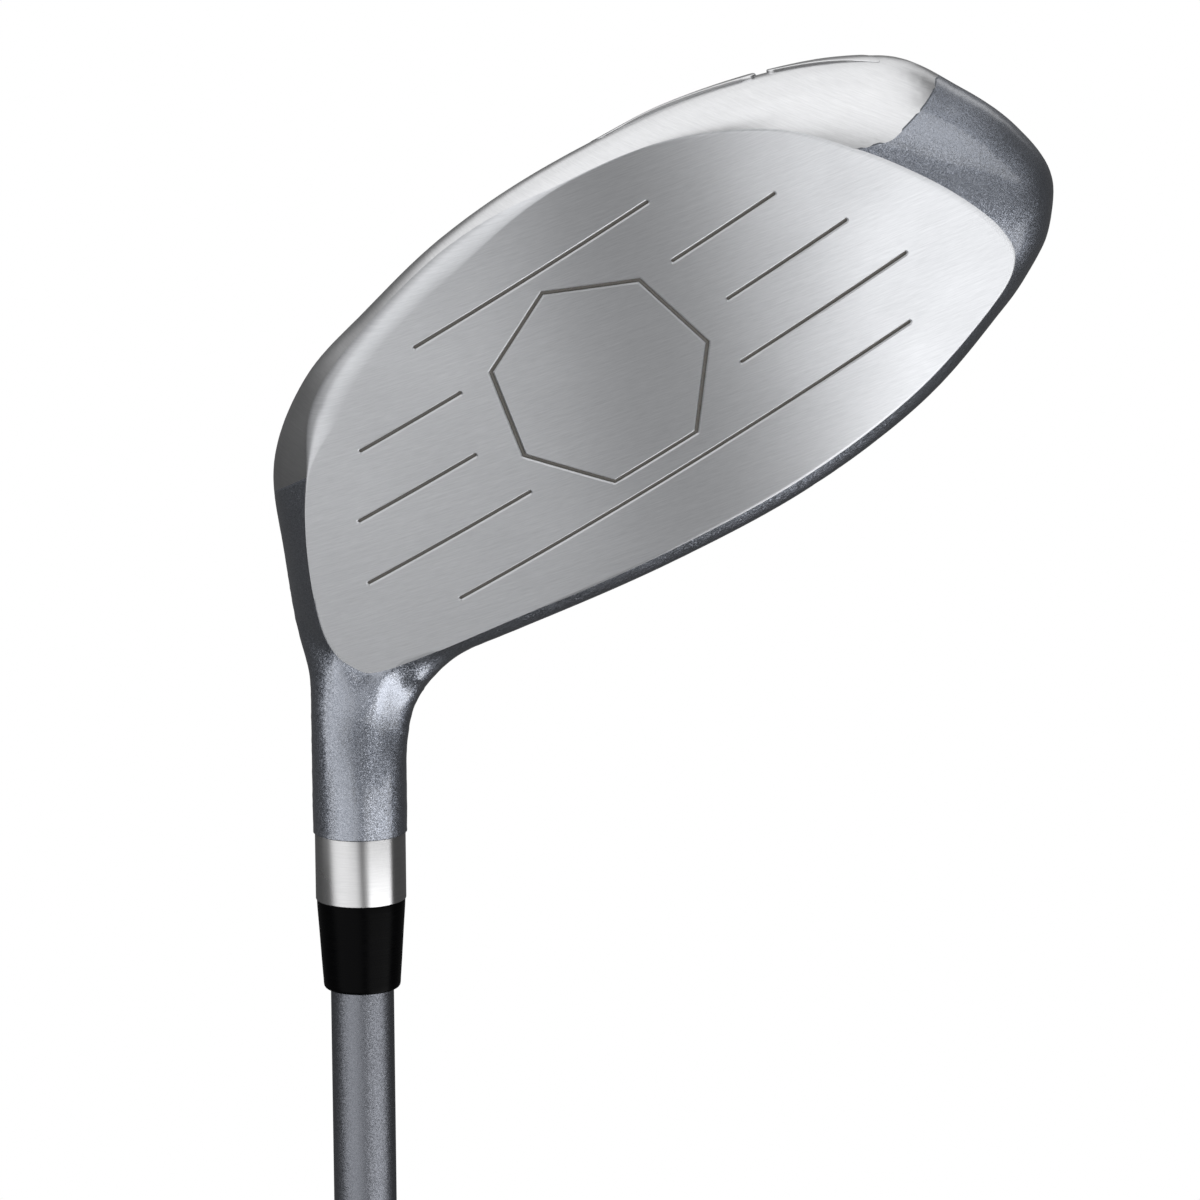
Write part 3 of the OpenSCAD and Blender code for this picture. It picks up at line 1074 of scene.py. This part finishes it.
class Recipe:
    """Node tree of one procedural material, or of the world."""

    def __init__(self, name, world=False):
        self.material = (bpy.data.worlds if world else bpy.data.materials).new(name)
        self.material.use_nodes = True
        self.tree = self.material.node_tree
        self.tree.nodes.clear()

    def add(self, kind, inputs=None, **settings):
        """A node with its settings, and its inputs set or linked. Returns its outputs."""
        node = self.tree.nodes.new("ShaderNode" + kind)
        for key, value in settings.items():
            setattr(node, key, value)
        for key, value in (inputs or {}).items():
            if isinstance(value, bpy.types.NodeSocket):
                self.tree.links.new(value, node.inputs[key])
            else:
                node.inputs[key].default_value = value
        return node.outputs

    def math(self, operation, *values):
        """Result of a math node on sockets and numbers."""
        return self.add("Math", dict(enumerate(values)), operation=operation)["Value"]

    def vectors(self, operation, *values):
        """Result of a vector math node on sockets and vectors."""
        return self.add("VectorMath", dict(enumerate(values)), operation=operation)[0]

    def flow(self, along, across):
        """Flow map scaled along and across the brushing."""
        place = self.add("UVMap", uv_map="flow")["UV"]
        return self.add("Mapping", {"Vector": place, "Scale": (along, across, 1)})["Vector"]

    def place(self, scale):
        """Place on the object in metres times scale."""
        spot = self.add("TexCoord")["Object"]
        return self.add("Mapping", {"Vector": spot, "Scale": (scale,) * 3})["Vector"]

    def noise(self, place, detail=2.0, roughness=0.5):
        """Fractal noise from 0 to 1."""
        return self.add("TexNoise", {"Vector": place, "Scale": 1.0, "Detail": detail,
                                     "Roughness": roughness})["Fac"]

    def spread(self, value, low, high, start=0.0, end=1.0):
        """Value mapped from start..end to low..high."""
        return self.add("MapRange", {"Value": value, "From Min": start, "From Max": end,
                                     "To Min": low, "To Max": high})["Result"]

    def tone(self, factor, dark, light):
        """Colour between dark and light."""
        return self.add("Mix", {"Factor": factor, 6: (*dark, 1), 7: (*light, 1)},
                        data_type="RGBA")[2]

    def bump(self, height, distance):
        """Normal bent by a height, distance in metres."""
        return self.add("Bump", {"Height": height, "Distance": distance,
                                 "Strength": 1.0})["Normal"]

    def finish(self, **inputs):
        """Principled surface from keyword inputs, with underscores for spaces."""
        inputs = {key.replace("_", " "): value for key, value in inputs.items()}
        shader = self.add("BsdfPrincipled", inputs)["BSDF"]
        self.add("OutputMaterial", {"Surface": shader})
        return self.material


def brushed_steel(name, light, dark, roughness, smear, depth):
    """Steel brushed along the flow map, with fine scratches and faint handling marks."""
    m = Recipe(name)
    fine = m.noise(m.flow(0.5, 7.0), 3.0, 0.65)
    long = m.noise(m.flow(0.09, 3.2))
    smudge = m.noise(m.place(60))
    lines = m.math("MULTIPLY_ADD", long, 0.5, fine)
    shade = m.tone(m.spread(lines, 0, 1, 0.5, 1.0), dark, light)
    rough = m.spread(smudge, roughness - 0.02, roughness + 0.03, 0.3, 0.7)
    normal = m.bump(lines, depth)
    tangent = m.add("Tangent", direction_type="UV_MAP", uv_map="flow")["Tangent"]
    return m.finish(Base_Color=shade, Metallic=1.0, Roughness=rough, Normal=normal,
                    Anisotropic=smear, Anisotropic_Rotation=0.25, Tangent=tangent)


def groove_painted_shade():
    """Dull dark grey-brown colour in the score lines: painted shade on the grooves' floors and
    lower walls.
    """
    m = Recipe("groove_painted_shade")
    grain = m.noise(m.place(5000), 3.0)
    shade = m.tone(grain, (0.10, 0.095, 0.085), (0.20, 0.19, 0.175))
    return m.finish(Base_Color=shade, Metallic=0.4, Roughness=0.5,
                    Normal=m.bump(grain, 0.00003))


def flake_paint(name, dark, light, flake_size, tilt, roughness, coat):
    """Metallic paint: slightly tilted flakes under a clear coat."""
    m = Recipe(name)
    cells = m.add("TexVoronoi", {"Vector": m.place(1 / flake_size), "Scale": 1.0},
                  feature="F1")["Color"]
    centred = m.vectors("SUBTRACT", cells, (0.5,) * 3)
    swing = m.vectors("MULTIPLY", centred, (tilt,) * 3)
    upright = m.add("NewGeometry")["Normal"]
    normal = m.vectors("NORMALIZE", m.vectors("ADD", upright, swing))
    grey = m.add("SeparateColor", {"Color": cells})["Red"]
    shade = m.tone(grey, dark, light)
    peel = m.bump(m.noise(m.place(700)), 0.000002)
    return m.finish(Base_Color=shade, Metallic=1.0, Roughness=roughness, Normal=normal,
                    Coat_Weight=coat, Coat_Roughness=0.07, Coat_IOR=1.6, Coat_Normal=peel)


def ferrule_plastic():
    """Black plastic with a low shine and faint turning marks."""
    m = Recipe("ferrule_plastic")
    rings = m.noise(m.flow(0.02, 5.0), 3.0)
    shade = m.tone(rings, (0.0008, 0.0008, 0.001), (0.002, 0.002, 0.0023))
    return m.finish(Base_Color=shade, Roughness=m.spread(rings, 0.20, 0.34, 0.3, 0.7),
                    Specular_IOR_Level=0.035, Normal=m.bump(rings, 0.00001))


def grip_rubber(name, level):
    """Matte black rubber with a fine grain."""
    m = Recipe(name)
    grain = m.noise(m.place(2500), 3.0)
    dust = m.noise(m.place(90), 3.0)
    shade = m.tone(m.spread(dust, 0, 1, 0.3, 0.7), (level,) * 3, (level * 2,) * 3)
    return m.finish(Base_Color=shade, Roughness=m.spread(dust, 0.62, 0.8, 0.3, 0.7),
                    Normal=m.bump(grain, 0.00008))


def plain(name, dark, light, roughness, scale, metallic=0.0):
    """Simple mottled material, for the pieces out of sight and the painted shadow along the paint's
    edge.
    """
    m = Recipe(name)
    grain = m.noise(m.place(scale), 3.0)
    return m.finish(Base_Color=m.tone(grain, dark, light), Metallic=metallic,
                    Roughness=m.spread(grain, roughness - 0.08, roughness + 0.08),
                    Normal=m.bump(grain, 0.00003))


# ---------------- light, floor and camera


def add_camera():
    """Camera in front of the head and a little above it."""
    camera = bpy.data.cameras.new("camera")
    camera.lens = 120
    camera.sensor_width = 36
    camera.clip_start = 0.01
    camera.clip_end = 200
    piece = link("camera", camera)
    right = Vector((0.99535, 0.09623, -0.00371))
    up = Vector((-0.01278, 0.17009, 0.98535))
    turn = Matrix((right, up, right.cross(up))).transposed()
    piece.matrix_world = Matrix.Translation((0.08273, -0.5172, 1.06417)) @ turn.to_4x4()
    bpy.context.scene.camera = piece


def add_floor():
    """Round pale floor under the club that fades out at its rim."""
    n, radii = 96, (0.05, 0.5, 1.0, 1.6, 2.4)
    points = np.vstack([np.zeros((1, 3))] + [circle(radius, 0, n) for radius in radii])
    a = 1 + np.arange(n)
    b = np.roll(a, -1)
    faces = columns(0 * a, a, b).tolist()
    for ring in range(0, n * (len(radii) - 1), n):
        faces += columns(ring + a, ring + n + a, ring + n + b, ring + b).tolist()
    floor = link_mesh("floor", points, faces)
    m = Recipe("floor_pale")
    grain = m.noise(m.place(3))
    pale = m.add("BsdfPrincipled", {"Base Color": m.tone(grain, (0.80,) * 3, (0.84,) * 3),
                                    "Roughness": 0.9})["BSDF"]
    clear = m.add("BsdfTransparent")["BSDF"]
    far = m.add("VectorMath", {0: m.place(1)}, operation="LENGTH")["Value"]
    fade = m.spread(far, 0, 1, 1.2, 2.35)
    mix = m.add("MixShader", {"Fac": fade, 1: pale, 2: clear})["Shader"]
    m.add("OutputMaterial", {"Surface": mix})
    floor.data.materials.append(m.material)
    floor.visible_glossy = False


# Soft light panels round the club. Each has its middle and half width as angles in degrees
# round the shaft's axis, counted from straight in front towards the toe, how far it leans per
# unit of height, its middle and half size in height from -1 to 1, the width of its soft rim in
# degrees and in height, and its brightness.
PANELS = [
    (-39, 37, -30, -0.34, 0.38, 18, 0.20, 1.22),
    (48, 37, -30, -0.22, 0.11, 11, 0.08, 1.45),
    (50, 35, -30, -0.62, 0.29, 11, 0.14, 2.60),
    (55, 31, 0, 0.66, 0.34, 4, 0.03, 1.30),
    (-60, 42, 0, 0.48, 0.32, 24, 0.16, 1.25),
    (-135, 52, 0, 0.64, 0.28, 30, 0.16, 1.00),
    (174, 22, 0, 0.62, 0.28, 16, 0.20, 0.85),
    (0, 180, 0, 1.25, 0.54, 1, 0.05, 1.15),
]
AMBIENT = 0.08


def add_world():
    """Plain soft studio light: a dark surround with soft panels, and white to the camera."""
    w = Recipe("studio", world=True)
    look = w.add("SeparateXYZ", {0: w.add("TexCoord")["Generated"]})
    front = w.math("MULTIPLY", look["Y"], -1.0)
    turn = w.math("MULTIPLY", w.math("ARCTAN2", look["X"], front), 180 / math.pi)
    level = None
    for middle, half, lean, height, rise, soft, rim, bright in PANELS:
        leaning = w.math("MULTIPLY_ADD", look["Z"], -lean, turn)
        across = w.math("WRAP", w.math("SUBTRACT", leaning, middle), 180.0, -180.0)
        upright = w.math("SUBTRACT", look["Z"], height)
        glow = bright
        for offset, size, fade in ((across, half, soft), (upright, rise, rim)):
            inside = w.add("MapRange", {"Value": w.math("ABSOLUTE", offset),
                                        "From Min": size - fade / 2, "From Max": size + fade / 2,
                                        "To Min": 1.0, "To Max": 0.0},
                           interpolation_type="SMOOTHSTEP")["Result"]
            glow = w.math("MULTIPLY", inside, glow)
        level = glow if level is None else w.math("MAXIMUM", level, glow)
    level = w.math("ADD", level, AMBIENT)
    seen = w.add("LightPath")["Is Camera Ray"]
    light, white = (w.add("Background", {"Color": (1,) * 4, "Strength": glow})["Background"]
                    for glow in (level, 1.0))
    mix = w.add("MixShader", {"Fac": seen, 1: light, 2: white})["Shader"]
    w.add("OutputWorld", {"Surface": mix})
    bpy.context.scene.world = w.material
    bpy.context.scene.view_settings.view_transform = "Standard"


def paint(piece, *materials):
    """Gives the piece its materials, in slot order."""
    for i, material in enumerate(materials):
        if i < len(piece.data.materials):
            piece.data.materials[i] = material
        else:
            piece.data.materials.append(material)


def place_piece(piece, slot, nodes, *materials):
    """Rides a piece on the club in place of its CAD nodes, with its materials."""
    paint(piece, *materials)
    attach(piece, "root")
    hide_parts(*nodes)


def build():
    """Makes every visible piece of the club."""
    body, skins, edge = make_head_skins()
    blue = flake_paint("head_paint", (0.195, 0.214, 0.255), (0.44, 0.465, 0.525), 0.00010, 0.30,
                       0.36, 0.8)
    # Darker paint for the strip of painted shadow along the paint's edge.
    edge_painted_shadow = plain("painted_edge_shadow", (0.10, 0.11, 0.13), (0.15, 0.16, 0.18), 0.5, 3000, 0.6)
    face = brushed_steel("face_steel", (0.70, 0.71, 0.732), (0.592, 0.602, 0.622), 0.38, 1.0,
                         0.000006)
    sole = brushed_steel("sole_steel", (0.71, 0.714, 0.725), (0.61, 0.614, 0.625), 0.30, 0.5,
                         0.000006)
    band = brushed_steel("band_steel", (0.70, 0.70, 0.705), (0.62, 0.62, 0.625), 0.28, 0.9,
                         0.000003)
    for name, skin, node in (("head_shell", "head", "head_body"),
                             ("crown_skin", "crown", "crown_plate")):
        place_piece(add_skin(name, skins[skin]), "head_paint", [node], blue, sole, edge_painted_shadow)
    # The face's second material darkens the grooves' floors: painted shade.
    place_piece(add_face(*even_loop(*edge, 0.7)), "face_steel", ["face_plate"], face,
                groove_painted_shade())
    place_piece(add_sole_plate(body), "sole_steel", ["sole_plate"], sole)
    place_piece(add_band(), "band_steel", ["hosel_band"], band)
    place_piece(add_ferrule(), "ferrule_plastic", ["ferrule"], ferrule_plastic())
    grey = flake_paint("shaft_paint", (0.16, 0.168, 0.19), (0.25, 0.26, 0.29), 0.00009, 0.25,
                       0.40, 0.1)
    place_piece(add_shaft(), "shaft_paint", ["shaft"], grey)
    place_piece(add_grip(), "grip_rubber", ["grip"], grip_rubber("grip_rubber", 0.012))
    place_piece(add_cap(), "cap_rubber", ["grip_cap"], grip_rubber("cap_rubber", 0.014))
    hidden = {
        "hosel_plug": plain("plug_plastic", (0.66, 0.64, 0.57), (0.76, 0.74, 0.67), 0.6, 900),
        "rattle_glue": plain("hot_glue", (0.70, 0.62, 0.40), (0.80, 0.73, 0.52), 0.35, 200),
        "shaft_epoxy": plain("epoxy", (0.50, 0.47, 0.35), (0.58, 0.55, 0.43), 0.45, 900),
        "tip_weight": plain("weight_brass", (0.55, 0.41, 0.18), (0.66, 0.52, 0.28), 0.35, 700, 1.0),
        "grip_tape": plain("tape_paper", (0.76, 0.74, 0.68), (0.84, 0.82, 0.76), 0.85, 1500),
    }
    for node, material in hidden.items():
        paint(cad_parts[node], material)


add_camera()
add_world()
add_floor()
build()
